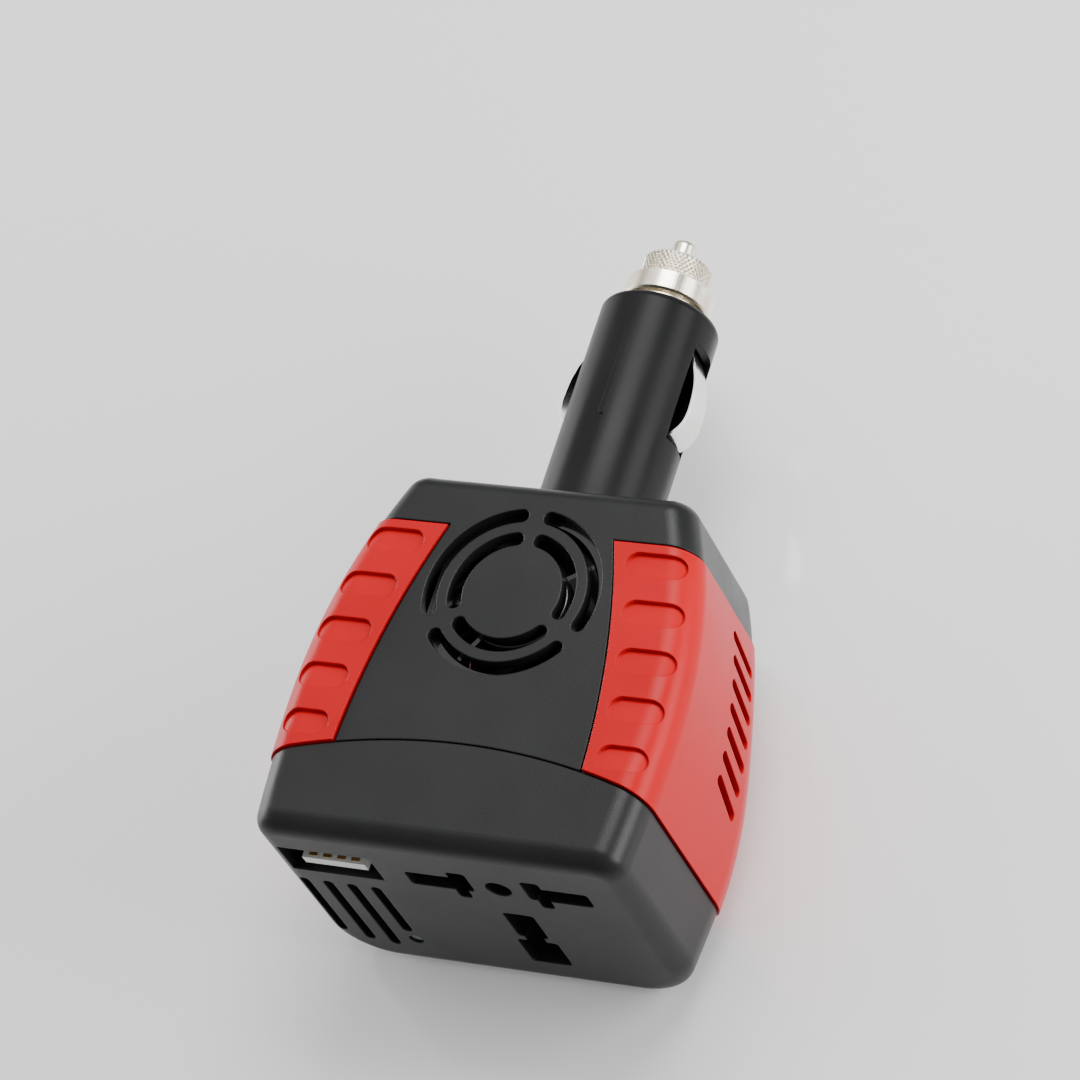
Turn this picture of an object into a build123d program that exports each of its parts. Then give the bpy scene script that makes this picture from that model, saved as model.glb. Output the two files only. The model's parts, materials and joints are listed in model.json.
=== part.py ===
from build123d import *
from math import atan, cos, degrees, pi, sqrt
import os

# Pocket power inverter: a 12 V plug on a folding neck, a fan-cooled housing with
# two clip-on side grips, and an end cap that holds a USB port and a mains outlet.
# Lengths are in millimetres. While modelling, Y runs from the outlet end towards
# the plug and Z runs from the back face to the front face. The export moves the
# origin along Y to the middle of the flat patch on the back.

# ---- housing -------------------------------------------------------------------
body_length = 68.2
widest_half_width = 34.5
widest_from_end = 27.0
outlet_side_radius = 240.0
plug_side_radius = 100.0
body_depth = 48.0
taper_drop = 7.0
taper_start = 16.0
taper_end = 52.0
front_corner = 5.0
back_corner = 11.0
end_rounding = 3.5
wall = 2.4
section_count = 8
seam_gap = 0.3
lip_thickness = 1.1
lip_reach = 3.0
lip_clearance = 0.1
rest_centre_from_end = 10.0

# ---- end cap -------------------------------------------------------------------
cap_length = 18.6
cap_arch_radius = 107.0

# ---- side grips ----------------------------------------------------------------
grip_sink = 1.2
grip_proud = 0.4
grip_gap = 0.45
grip_inner_at_cap = 22.0
grip_inner_at_middle = 19.7
grip_inner_at_plug = 15.2
grip_middle_from_end = 41.3
grip_end = 58.2
scoop_count = 5
scoop_first = 19.4
scoop_pitch = 8.75
scoop_height = 4.4
scoop_depth = 0.8
scoop_sill = 0.4
scoop_from_edge = 2.2
scoop_from_side = 1.6
side_vent_count = 7
side_vent_first = 28.0
side_vent_pitch = 4.15
side_vent_length = 10.6
side_vent_width = 1.9
side_vent_slant = 14.0
side_vent_from_front = 27.9
side_vent_rise = 0.12
side_vent_reach = 8.0

# ---- fan -----------------------------------------------------------------------
fan_from_end = 47.2
fan_size = 30.0
fan_height = 7.0
fan_bore = 14.3
fan_frame_wall = 0.8
fan_screw_spacing = 24.0
fan_screw_radius = 1.1
fan_screw_head = (1.9, 1.2)
fan_corner = 2.0
fan_clearance = 0.2
hub_radius = 9.2
hub_cup_wall = 0.9
hub_rounding = 1.0
hub_below_grille = 0.6
blade_tip_gap = 0.5
blade_count = 7
blade_sweep = 34.0
blade_thickness = 0.8
blade_root = 1.0
bearing_wall = 1.4
bearing_height = 4.0
magnet_thickness = 1.4
stator_gap = 0.6
stator_height = 2.4
stator_slot = 1.6
shaft_radius = 0.75
shaft_clearance = 0.05
strut_thickness = 1.0
strut_width = 2.2
grille_outer_radius = 14.4
grille_inner_radius = 10.0
grille_slot_width = 2.5
grille_slot_angle = 102.0
grille_slots = 3

# ---- plug joint and plug -------------------------------------------------------
plug_axis_from_front = 20.2
pivot_from_plug_end = 11.2
plug_radius = 10.5
plug_nose = 113.0
plug_start_gap = 0.4
nose_rounding = 1.5
rib_start = 87.5
rib_size = (17.5, 1.0, 0.2)
knuckle_radius = 9.0
knuckle_half_width = 8.0
neck_half_height = 7.0
bay_gap = 0.5
bay_wall = 1.2
trunnion_radius = 3.5
bush_wall = 1.4
bush_clearance = 0.05
boss_wall = 1.5
lead_radius = 0.8
lead_hole_radius = 1.7
lead_chamber_radius = 6.5
lead_chamber_length = 6.0
fuse_bore = 3.9
contact_top = 105.4
contact_drop = 16.8
contact_peak = 12.1
contact_width = 6.0
contact_thickness = 0.45
contact_slot_clearance = 0.8
contact_travel = 1.3
contact_anchor = (4.6, 3.0)
contact_bends = ((2.8, -0.4), (0.9, -4.6), (0.0, -10.6), (0.3, -13.6), (1.7, -16.0))
contact_lip = 4.2
contact_slot_wall = 1.6
ring_radius = 7.3
ring_thickness = 1.3
collar_radius = 5.2
collar_bore = 3.7
collar_sink = 10.0
rear_contact_thickness = 1.2
nut_gap = 0.6
nut_flange_radius = 7.75
nut_flange_length = 4.0
nut_grip_radius = 6.15
nut_grip_length = 5.0
nut_thread_clearance = 0.1
nut_end_wall = 2.4
nut_knurl_count = 24
nut_knurl_width = 0.4
nut_rounding = 0.4
tip_radius = 2.2
tip_clearance = 0.1
tip_rounding = 0.9
tip_reach = 4.5
tip_flange_radius = 3.4
tip_flange_length = 1.8
fuse_radius = 3.2
fuse_length = 30.0
fuse_cap_length = 6.0
fuse_cap_wall = 0.2
fuse_cap_end = 0.5
fuse_glass_wall = 0.6
spring_length = 9.0
spring_wire = 0.35
spring_turns = 6

# ---- outlet end ----------------------------------------------------------------
outlet_from_centre = 8.2
outlet_slot_inner = 4.9
outlet_slot_outer = 16.4
outlet_slot_from_front = 13.0
outlet_slot_height = 4.3
outlet_notch_width = 3.4
outlet_notch_rise = 1.8
outlet_tail_inner = 6.2
outlet_tail_width = 2.4
outlet_tail_drop = 2.6
outlet_pin_radius = 2.3
earth_upper_from_front = 26.2
earth_upper_size = (5.6, 8.4)
earth_lower_from_front = 35.9
earth_lower_size = (7.4, 8.2)
earth_neck_width = 3.6
outlet_corner = 0.7
block_depth = 10.6
block_margin = 2.2
block_gap = 0.1
block_floor = 1.2
pocket_margin = 0.2
pocket_rise = 2.4
earth_pocket_rise = 1.0
clip_wall = 0.5
clip_depth = 4.5
usb_from_centre = -21.85
usb_from_front = 11.6
usb_opening = (17.0, 7.7)
usb_shell_size = (13.1, 5.7)
usb_shell_depth = 14.0
usb_shell_wall = 0.35
usb_tongue_size = (11.6, 1.9)
usb_tongue_depth = 15.5
usb_tongue_lift = 0.1
usb_board_thickness = 1.2
usb_board_margin = 0.5
usb_gap = 0.2
end_vent_count = 4
end_vent_first = -30.0
end_vent_pitch = 4.45
end_vent_width = 1.9
end_vent_top = 18.8
end_vent_bottoms = (38.0, 40.2, 41.0, 35.0)
led_from_centre = -16.4
led_from_front = 38.0
led_radius = 1.3
led_clearance = 0.1
led_sink = 0.3
led_length = 6.1
led_flange = (0.4, 1.1)

# ---- inside --------------------------------------------------------------------
board_height = 11.0
board_thickness = 1.6
board_half_width = 26.0
board_gap_to_block = 1.0
board_gap_to_bay = 1.3
case_screw_radius = 1.4
case_screw_head_radius = 2.6
case_screw_head_height = 1.8
case_screw_clearance = 0.3
case_boss_radius = 3.0
case_screw_sink = 3.0
case_screw_bite = 9.0
case_screw_cross = (1.8, 0.7, 0.8)
front_screws = (17.5, 21.0)
plug_end_screws = (18.6, 62.4)
board_screw_from_centre = 10.8
board_screw_from_bay = 3.5
board_post_radius = 2.2
board_screw_radius = 0.9
board_screw_head = (2.0, 1.3)
board_screw_bite = 3.5
transformer_size = (18.0, 7.0, 17.0)
transformer_place = (1.0, 29.0)
transformer_window = (3.6, 10.0)
coil_overhang = 5.0
coil_gap = 0.3
coil_rounding = 2.5
heatsink_size = (2.0, 26.0, 18.5)
heatsink_from_centre = -25.0
heatsink_fins = 6
heatsink_fin = (3.0, 1.2)
heatsink_from_edge = 1.0
heatsink_fin_lift = 3.0
transistor_size = (4.5, 9.0, 15.0)
transistor_ys = (28.9, 38.4)
transistor_lift = 2.0
capacitor_radius = 4.2
capacitor_height = 14.0
capacitor_places = ((20.6, 29.6), (20.6, 38.6))
capacitor_rounding = 0.5
chip_size = (9.0, 6.0, 3.2)
chip_places = ((-7.5, 18.4), (5.5, 18.4))
supply_lead_out = 3.0
supply_lead_drop = 5.0
supply_lead_bend = 1.5
lead_bend = 2.0
small = 0.01
over = 1.0

# ---- places that follow from the sizes above -----------------------------------
axis_z = body_depth - plug_axis_from_front
pivot_y = body_length - pivot_from_plug_end
plug_start = body_length + plug_start_gap
bay_half = plug_radius + bay_gap
bay_back = pivot_y - bay_half
bay_top = axis_z + knuckle_radius + bay_gap
bush_radius = trunnion_radius + bush_clearance + bush_wall
cheek_outer = bay_half + bay_wall
cheek_inner = knuckle_half_width + bay_gap
fan_top = body_depth - wall
fan_bottom = fan_top - fan_height
block_back = wall + block_depth
board_start = block_back + board_gap_to_block
board_end = bay_back - bay_wall - board_gap_to_bay
board_top = board_height + board_thickness
nut_start = plug_nose + ring_thickness + nut_gap
nut_middle = nut_start + nut_flange_length
nut_end = nut_middle + nut_grip_length
tip_end = nut_end + tip_reach
tip_seat = nut_end - nut_end_wall
fuse_front = tip_seat - tip_flange_length
fuse_back = fuse_front - fuse_length
spring_back = fuse_back - spring_length
chamber_end = spring_back - 2 * rear_contact_thickness
chamber_start = chamber_end - lead_chamber_length
contact_low = contact_top - contact_drop
bearing_radius = shaft_radius + bearing_wall
magnet_radius = hub_radius - hub_cup_wall
grip_front = body_depth + grip_proud
reach = 3 * body_depth


def half_width(y):
    """Half the housing's width at a distance from the outlet end."""
    radius = outlet_side_radius if y < widest_from_end else plug_side_radius
    return widest_half_width - radius + sqrt(radius**2 - (y - widest_from_end) ** 2)


def back_rise(y):
    """How far the back face has risen at a distance from the outlet end."""
    share = min(max((y - taper_start) / (taper_end - taper_start), 0.0), 1.0)
    return taper_drop * (1 - cos(pi * share)) / 2


def section(y, grow):
    """The housing's cross-section at y, grown outwards all round."""
    side = half_width(y) + grow
    top = body_depth + grow
    bottom = back_rise(y) - grow
    corners = [(-side, bottom), (side, bottom), (side, top), (-side, top)]
    radii = [back_corner + grow] * 2 + [front_corner + grow] * 2
    outline = FilletPolyline(*corners, radius=radii, close=True)
    plane = Plane(origin=(0, y, 0), x_dir=(1, 0, 0), z_dir=(0, -1, 0))
    return plane * make_face(outline)


def skin(grow):
    """The whole housing as one solid, grown outwards by a distance."""
    start = -grow
    step = (body_length + 2 * grow) / (section_count - 1)
    body = loft([section(start + i * step, grow) for i in range(section_count)])
    ends = body.faces().sort_by(Axis.Y)
    edges = ends[0].edges() + ends[-1].edges()
    return fillet(edges, min(end_rounding + grow / 2, 0.8 * (front_corner + grow)))


def block(x0, x1, y0, y1, z0, z1):
    """A box between two corners."""
    centre = ((x0 + x1) / 2, (y0 + y1) / 2, (z0 + z1) / 2)
    return Pos(*centre) * Box(x1 - x0, y1 - y0, z1 - z0)


def rod_x(radius, x0, x1, y, z):
    """A cylinder along X."""
    return Pos((x0 + x1) / 2, y, z) * Rot(0, 90, 0) * Cylinder(radius, x1 - x0)


def rod_y(radius, y0, y1, x, z):
    """A cylinder along Y."""
    return Pos(x, (y0 + y1) / 2, z) * Rot(90, 0, 0) * Cylinder(radius, y1 - y0)


def rod_z(radius, z0, z1, x, y):
    """A cylinder along Z."""
    return Pos(x, y, (z0 + z1) / 2) * Cylinder(radius, z1 - z0)


def group(pieces):
    """Separate solids that share one node."""
    return Compound(children=[solid for piece in pieces for solid in piece.solids()])


def tube(points, bend, radius):
    """A wire along straight runs joined by arcs."""
    path = FilletPolyline(*points, radius=bend)
    start = Plane(origin=path @ 0, z_dir=path % 0)
    return sweep(start * Circle(radius), path=path)


# ---- regions of the housing ----------------------------------------------------
def cap_region(gap):
    """Everything on the outlet side of the arched seam."""
    return Pos(0, cap_length - cap_arch_radius, body_depth / 2) * Cylinder(cap_arch_radius + gap, reach)


def grip_region(side, gap):
    """Everything that a grip covers on one side, grown by a gap."""
    far = 2 * widest_half_width
    inner_cap = grip_inner_at_cap - gap
    inner_mid = grip_inner_at_middle - gap
    inner_plug = grip_inner_at_plug - gap
    end = grip_end + gap
    edge = ThreePointArc((inner_cap, 0), (inner_mid, grip_middle_from_end), (inner_plug, end))
    outline = edge + Polyline((inner_plug, end), (far, end), (far, 0), (inner_cap, 0))
    prism = extrude(Pos(0, 0, -body_depth) * make_face(outline), reach)
    prism -= cap_region(grip_gap - gap)
    return prism if side > 0 else mirror(prism, about=Plane.YZ)


def side_vents(side):
    """The row of slanted slots through one side."""
    cutters = []
    for i in range(side_vent_count):
        y = side_vent_first + i * side_vent_pitch
        z = body_depth - side_vent_from_front + i * side_vent_pitch * side_vent_rise
        slot = SlotOverall(side_vent_length, side_vent_width)
        plane = Plane(origin=(side * widest_half_width, y, z), x_dir=(0, 1, 0), z_dir=(1, 0, 0))
        cutters.append(extrude(plane * Rot(0, 0, 90 - side_vent_slant) * slot, side_vent_reach, both=True))
    return cutters


def scoops(raised):
    """Finger scoops for the right grip: steep towards the plug, fading the other way."""
    cutters = []
    tilt = degrees(atan(scoop_depth / (scoop_height + scoop_sill)))
    for i in range(scoop_count):
        y = scoop_first + i * scoop_pitch
        share = (y - cap_length) / (grip_end - cap_length)
        inner = grip_inner_at_cap + (grip_inner_at_plug - grip_inner_at_cap) * share**1.6
        x0 = inner + scoop_from_edge
        x1 = half_width(y) - scoop_from_side
        plan = Pos((x0 + x1) / 2, y, grip_front - front_corner) * SlotOverall(x1 - x0, scoop_height)
        fading_line = Axis((0, y - scoop_height / 2 - scoop_sill, grip_front), (1, 0, 0))
        cutters.append(extrude(plan, 2 * front_corner) - raised.rotate(fading_line, -tilt))
    return cutters


def outlet_openings(y0, y1):
    """The mains outlet's openings, cut along Y between two planes."""
    plane = Plane(origin=(outlet_from_centre, y1, body_depth), x_dir=(1, 0, 0), z_dir=(0, -1, 0))
    mid = -outlet_slot_from_front
    top = mid + outlet_slot_height / 2
    low = mid - outlet_slot_height / 2

    def rounded(x0, x1, z0, z1):
        return Pos((x0 + x1) / 2, (z0 + z1) / 2) * RectangleRounded(x1 - x0, z1 - z0, outlet_corner)

    slot = rounded(outlet_slot_inner, outlet_slot_outer, low, top)
    slot += rounded(outlet_slot_inner, outlet_slot_inner + outlet_notch_width, mid, top + outlet_notch_rise)
    slot += rounded(outlet_tail_inner, outlet_tail_inner + outlet_tail_width, low - outlet_tail_drop, mid)
    neck = (earth_upper_from_front + earth_lower_from_front) / 2
    earth = Pos(0, -earth_upper_from_front) * RectangleRounded(*earth_upper_size, outlet_corner)
    earth += Pos(0, -earth_lower_from_front) * RectangleRounded(*earth_lower_size, outlet_corner)
    earth += Pos(0, -neck) * Rectangle(earth_neck_width, earth_upper_size[1])
    shapes = [slot, mirror(slot, about=Plane.YZ), Pos(0, mid) * Circle(outlet_pin_radius), earth]
    return [extrude(plane * shape, y1 - y0) for shape in shapes]


def end_wall_cuts():
    """Openings for the USB port, the vents and the status light."""
    z = body_depth - usb_from_front
    w, h = usb_opening
    cuts = [block(usb_from_centre - w / 2, usb_from_centre + w / 2, -1, wall + 1, z - h / 2, z + h / 2)]
    for i in range(end_vent_count):
        x = end_vent_first + i * end_vent_pitch
        top = body_depth - end_vent_top
        low = body_depth - end_vent_bottoms[i]
        plane = Plane(origin=(x, wall + 1, (top + low) / 2), x_dir=(1, 0, 0), z_dir=(0, -1, 0))
        cuts.append(extrude(plane * Rot(0, 0, 90) * SlotOverall(top - low, end_vent_width), wall + 3))
    cuts.append(rod_y(led_radius, -1, wall + 1, led_from_centre, body_depth - led_from_front))
    return cuts


def case_screw_places():
    """Where the four case screws stand, in the XY plane."""
    return [(side * x, y) for x, y in (front_screws, plug_end_screws) for side in (-1, 1)]


def board_screw_places():
    """Where the two board screws stand, in the XY plane."""
    return [(side * board_screw_from_centre, board_end - board_screw_from_bay) for side in (-1, 1)]


# ---- housing pieces ------------------------------------------------------------
def make_housing():
    """Front shell, back shell, end cap and the two grips."""
    outer = skin(0) & block(-reach, reach, -reach, reach, 0, reach)
    inner = skin(-wall)
    shell = outer - inner
    cap = shell & cap_region(0)
    for cut in outlet_openings(-1, wall + 1) + end_wall_cuts():
        cap -= cut

    raised = skin(grip_proud)
    sunk = skin(-grip_sink)
    grip = (raised - sunk) & grip_region(-1, 0)
    grip = grip & block(-reach, reach, -reach, reach, 0, reach)
    for cut in scoops(raised):
        grip -= mirror(cut, about=Plane.YZ)
    for cut in side_vents(-1):
        grip -= cut
    grips = {"left_grip": grip, "right_grip": mirror(grip, about=Plane.YZ)}

    case = shell - cap_region(seam_gap)
    liner = skin(-wall - lip_clearance) - skin(-wall - lip_thickness)
    lip = (liner & cap_region(seam_gap + lip_reach)) - cap_region(-lip_reach)
    root = (inner - skin(-wall - lip_thickness)) & cap_region(seam_gap + lip_reach)
    lip += root - cap_region(seam_gap)
    case += lip
    for side in (-1, 1):
        case -= grip_region(side, grip_gap) - sunk
        for cut in side_vents(side):
            case -= cut

    case += (block(-cheek_outer, cheek_outer, bay_back - bay_wall, body_length - wall, 0,
                   bay_top + bay_wall) & inner)
    for x, y in case_screw_places():
        case += rod_z(case_boss_radius, 0, reach, x, y) & inner
    for x, y in board_screw_places():
        case += rod_z(board_post_radius, 0, board_height, x, y) & inner
    case -= block(-bay_half, bay_half, bay_back, body_length + 1, -1, axis_z)
    case -= block(-cheek_inner, cheek_inner, bay_back, body_length + 1, axis_z - small, bay_top)
    for side in (-1, 1):
        inside, outside = sorted((side * cheek_inner, side * (bay_half + small)))
        case += rod_x(bush_radius + boss_wall, inside, outside, pivot_y, axis_z)
        inside, outside = sorted((side * (cheek_inner - 1), side * (cheek_outer + 1)))
        case -= rod_x(bush_radius, inside, outside, pivot_y, axis_z)
    front = case & block(-reach, reach, -reach, reach, axis_z, reach)
    back = case & block(-reach, reach, -reach, reach, -reach, axis_z)

    mid_angle = 90 + 180 / grille_slots
    for radius in (grille_outer_radius, grille_inner_radius):
        rounding = grille_slot_width / radius * 180 / pi
        span = grille_slot_angle + 7 - rounding
        for i in range(grille_slots):
            start = mid_angle + i * 360 / grille_slots - span / 2
            arc = CenterArc((0, 0), radius, start, span)
            slot = SlotArc(arc, grille_slot_width)
            front -= Pos(0, fan_from_end, body_depth - 2 * wall) * extrude(slot, 3 * wall)
    for x, y in fan_screw_places():
        front -= rod_z(fan_screw_radius, fan_top - 1, fan_top + wall / 2, x, y)
    for x, y in case_screw_places():
        front -= rod_z(case_screw_radius, axis_z - 1, axis_z + case_screw_bite, x, y)
        clearance = case_screw_radius + case_screw_clearance
        back -= rod_z(clearance, -1, axis_z + 1, x, y)
        head = case_screw_head_radius + case_screw_clearance
        back -= rod_z(head, -1, back_rise(y) + case_screw_sink, x, y)
    for x, y in board_screw_places():
        back -= rod_z(board_screw_radius, board_height - board_screw_bite - small, board_height + over, x, y)
    return front, back, cap, grips


def fan_screw_places():
    """Where two opposite corners of the fan are screwed down."""
    half = fan_screw_spacing / 2
    return [(-half, fan_from_end - half), (half, fan_from_end - half)]


# ---- fan -----------------------------------------------------------------------
def make_fan():
    """Frame with its bearing, stator, rotor, magnet ring, shaft and screws."""
    half = fan_size / 2
    mid = fan_from_end
    frame = block(-half, half, mid - half, mid + half, fan_bottom, fan_top)
    frame = fillet(frame.edges().filter_by(Axis.Z), fan_corner)
    frame -= rod_z(fan_bore, fan_bottom - over, fan_top + over, 0, mid)
    base = rod_z(hub_radius, fan_bottom, fan_bottom + strut_thickness, 0, mid)
    for angle in (30, 150, 270):
        strut = block(0, fan_bore + fan_frame_wall / 2, -strut_width / 2, strut_width / 2,
                      0, strut_thickness)
        base += Pos(0, mid, fan_bottom) * Rot(0, 0, angle) * strut
    base += rod_z(bearing_radius, fan_bottom, fan_bottom + bearing_height, 0, mid)
    frame += base
    frame -= rod_z(shaft_radius + shaft_clearance, fan_bottom + strut_thickness / 2, fan_top, 0, mid)
    for x, y in fan_screw_places():
        frame -= rod_z(fan_screw_radius, fan_bottom - over, fan_top + over, x, y)

    stator = rod_z(magnet_radius - magnet_thickness - stator_gap, 0, stator_height, 0, 0)
    stator -= rod_z(bearing_radius, -over, stator_height + over, 0, 0)
    half_slot = stator_slot / 2
    for i in range(4):
        notch = block(bearing_radius + half_slot, hub_radius, -half_slot, half_slot,
                      -over, stator_height + over)
        stator -= Rot(0, 0, 45 + 90 * i) * notch
    stator = Pos(0, mid, fan_bottom + strut_thickness + fan_clearance) * stator

    cup_low = fan_bottom + strut_thickness + 2 * fan_clearance
    cup_high = fan_top - hub_below_grille
    cup = rod_z(hub_radius, cup_low, cup_high, 0, mid)
    cup = fillet(cup.edges().sort_by(Axis.Z)[-1], hub_rounding)
    cup -= rod_z(magnet_radius, cup_low - over, cup_high - hub_cup_wall, 0, mid)
    tip = fan_bore - blade_tip_gap
    blade_low = cup_low + fan_clearance
    blade_rise = cup_high - cup_low - 2 * fan_clearance
    inner = hub_radius - blade_root
    foot = Rectangle(tip - inner, blade_thickness)
    for i in range(blade_count):
        sections = []
        for share in (0.0, 0.5, 1.0):
            turn = Rot(0, 0, i * 360 / blade_count + blade_sweep * share)
            centre = Pos((tip + inner) / 2 + fan_clearance, 0, blade_low + share * blade_rise)
            sections.append(Pos(0, mid, 0) * turn * centre * foot)
        cup += loft(sections) - rod_z(hub_radius - hub_cup_wall / 2, cup_low - over, cup_high + over, 0, mid)
    cup = cup & rod_z(tip, cup_low - over, cup_high + over, 0, mid)
    shaft_top = cup_high - hub_cup_wall / 3
    cup -= rod_z(shaft_radius, cup_low - over, shaft_top, 0, mid)
    magnet = rod_z(magnet_radius, cup_low + fan_clearance, cup_high - hub_cup_wall, 0, mid)
    magnet -= rod_z(magnet_radius - magnet_thickness, cup_low - over, cup_high + over, 0, mid)
    shaft = rod_z(shaft_radius, fan_bottom + strut_thickness / 2 + fan_clearance, shaft_top, 0, mid)
    head_radius, head_height = fan_screw_head
    screws = []
    for x, y in fan_screw_places():
        screws.append(rod_z(fan_screw_radius, fan_bottom, fan_top + wall / 2 - fan_clearance, x, y)
                      + rod_z(head_radius, fan_bottom - head_height, fan_bottom, x, y))
    return {"fan_frame": frame, "fan_stator": stator, "fan_rotor": cup, "fan_magnet": magnet,
            "fan_shaft": shaft, "fan_screws": group(screws)}


# ---- plug ----------------------------------------------------------------------
def contact_curve(shift):
    """The side contact's bent line, from its anchor to its lower lip."""
    points = []
    for inward, rise in (contact_anchor, *contact_bends, (contact_lip, -contact_drop)):
        lift = shift * min(max(-rise - contact_drop + 1.8, 0) / 1.8, 1)
        points.append((contact_peak - inward - shift, contact_top + rise + lift))
    return Spline(*points)


def make_contact(side):
    """One sprung side contact."""
    outer = contact_curve(0)
    inner = contact_curve(contact_thickness)
    outline = outer + inner + Line(outer @ 0, inner @ 0) + Line(outer @ 1, inner @ 1)
    strip = extrude(make_face(outline), contact_width / 2, both=True)
    strip = Pos(0, 0, axis_z) * strip
    return strip if side > 0 else mirror(strip, about=Plane.YZ)


def make_plug():
    """Two moulded halves with the metal parts and the fuse inside."""
    barrel = rod_y(plug_radius, plug_start, plug_nose, 0, axis_z)
    barrel = fillet(barrel.edges().sort_by(Axis.Y)[-1], nose_rounding)
    neck = rod_x(knuckle_radius, -knuckle_half_width, knuckle_half_width, pivot_y, axis_z)
    neck += block(-knuckle_half_width, knuckle_half_width, pivot_y, plug_start + small,
                  axis_z - neck_half_height, axis_z + neck_half_height)
    trunnions = rod_x(trunnion_radius, -cheek_outer, cheek_outer, pivot_y, axis_z)
    rib_length, rib_width, rib_height = rib_size
    rib_place = Pos(0, rib_start + rib_length / 2, axis_z + plug_radius - rib_height)
    rib = extrude(rib_place * Rot(0, 0, 90) * SlotOverall(rib_length, rib_width), 2 * rib_height)
    plug = barrel + rib + neck + trunnions
    bore_start = spring_back - rear_contact_thickness
    collar_start = plug_nose - collar_sink
    plug -= rod_y(fuse_bore, bore_start, collar_start, 0, axis_z)
    plug -= rod_y(collar_radius, collar_start, plug_nose + over, 0, axis_z)
    plug -= rod_y(lead_chamber_radius, chamber_start, chamber_end, 0, axis_z)
    plug -= rod_y(2 * lead_hole_radius, pivot_y - trunnion_radius, chamber_start + small, 0, axis_z)
    plug -= rod_y(2 * lead_hole_radius, chamber_end - over, bore_start + small, 0, axis_z)
    plug -= rod_x(lead_hole_radius, -reach, reach, pivot_y, axis_z)
    half = contact_width / 2 + contact_slot_clearance
    low = contact_low - contact_slot_clearance
    anchor_in, anchor_rise = contact_anchor
    inner = contact_peak - anchor_in - contact_travel - over
    shelf = plug_radius - contact_slot_wall
    for side in (-1, 1):
        x0, x1 = sorted((side * inner, side * shelf))
        top = contact_top + anchor_rise + contact_slot_clearance
        plug -= block(x0, x1, low, top, axis_z - half, axis_z + half)
        x0, x1 = sorted((side * (shelf - small), side * (plug_radius + over)))
        top = contact_top + contact_travel
        plug -= block(x0, x1, low, top, axis_z - half, axis_z + half)
    lead_half = 1.5 * lead_radius
    plug -= block(-inner - over, -inner + lead_half, chamber_end - over, low + over,
                  axis_z - lead_half, axis_z + lead_half)
    front = plug & block(-reach, reach, 0, reach, axis_z, reach)
    back = plug & block(-reach, reach, 0, reach, -reach, axis_z)

    ring = rod_y(ring_radius, plug_nose, plug_nose + ring_thickness, 0, axis_z)
    ring -= rod_y(collar_radius, plug_nose - over, nut_start, 0, axis_z)
    collar_end = tip_seat - over
    collar = rod_y(collar_radius, collar_start, collar_end, 0, axis_z)
    collar -= rod_y(collar_bore, collar_start - over, collar_end + over, 0, axis_z)
    rear = rod_y(fuse_bore - tip_clearance, bore_start, spring_back, 0, axis_z)

    nut = rod_y(nut_flange_radius, nut_start, nut_middle, 0, axis_z)
    nut = fillet(nut.edges().filter_by(GeomType.CIRCLE), nut_rounding)
    grip = rod_y(nut_grip_radius, nut_middle - small, nut_end, 0, axis_z)
    grip = chamfer(grip.edges().sort_by(Axis.Y)[-1], nut_rounding)
    for i in range(nut_knurl_count):
        turn = Pos(0, 0, axis_z) * Rot(0, i * 360 / nut_knurl_count, 0)
        groove = Rot(0, 45, 0) * Box(nut_knurl_width, nut_grip_length + 2 * over, nut_knurl_width)
        grip -= turn * Pos(nut_grip_radius, (nut_middle + nut_end) / 2 + over, 0) * groove
    nut += grip
    thread = collar_radius + nut_thread_clearance
    nut -= rod_y(thread, nut_start - over, tip_seat, 0, axis_z)
    nut -= rod_y(tip_radius + tip_clearance, tip_seat - over, nut_end + over, 0, axis_z)

    tip = rod_y(tip_radius, fuse_front + small, tip_end, 0, axis_z)
    tip = fillet(tip.edges().sort_by(Axis.Y)[-1], tip_rounding)
    tip += rod_y(tip_flange_radius, fuse_front, tip_seat - tip_clearance, 0, axis_z)
    glass_radius = fuse_radius - fuse_cap_wall
    glass = rod_y(glass_radius, fuse_back + fuse_cap_end, fuse_front - fuse_cap_end, 0, axis_z)
    glass -= rod_y(glass_radius - fuse_glass_wall, fuse_back, fuse_front, 0, axis_z)
    caps = []
    for y0, y1, out in ((fuse_back, fuse_back + fuse_cap_length, 1),
                        (fuse_front - fuse_cap_length, fuse_front, -1)):
        cap = rod_y(fuse_radius, y0, y1, 0, axis_z)
        hollow = fuse_cap_end * out
        caps.append(cap - rod_y(glass_radius, y0 + hollow, y1 + hollow, 0, axis_z))
    pitch = (spring_length - 2 * spring_wire) / spring_turns
    helix = Helix(pitch, pitch * spring_turns, fuse_bore - 3 * spring_wire)
    coil = sweep(Plane(origin=helix @ 0, z_dir=helix % 0) * Circle(spring_wire), path=helix)
    spring = Pos(0, fuse_back - spring_wire, axis_z) * Rot(90, 0, 0) * coil

    run = 1.6 * lead_radius
    positive = tube([(run, bore_start, axis_z), (run, pivot_y, axis_z),
                     (cheek_outer, pivot_y, axis_z)], lead_bend, lead_radius)
    negative = tube([(-inner, low, axis_z), (-inner, chamber_start + lead_chamber_length / 2, axis_z),
                     (-run, chamber_start + lead_radius, axis_z), (-run, pivot_y, axis_z),
                     (-cheek_outer, pivot_y, axis_z)], 0.9 * lead_bend, lead_radius)
    return {"plug_front_half": front, "plug_back_half": back, "plug_ring": ring,
            "plug_collar": collar, "rear_contact": rear, "plug_leads": group([positive, negative]),
            "tip_nut": nut, "tip_pin": tip, "fuse_glass": glass, "fuse_caps": group(caps),
            "tip_spring": spring, "left_side_contact": make_contact(-1),
            "right_side_contact": make_contact(1)}


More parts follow.
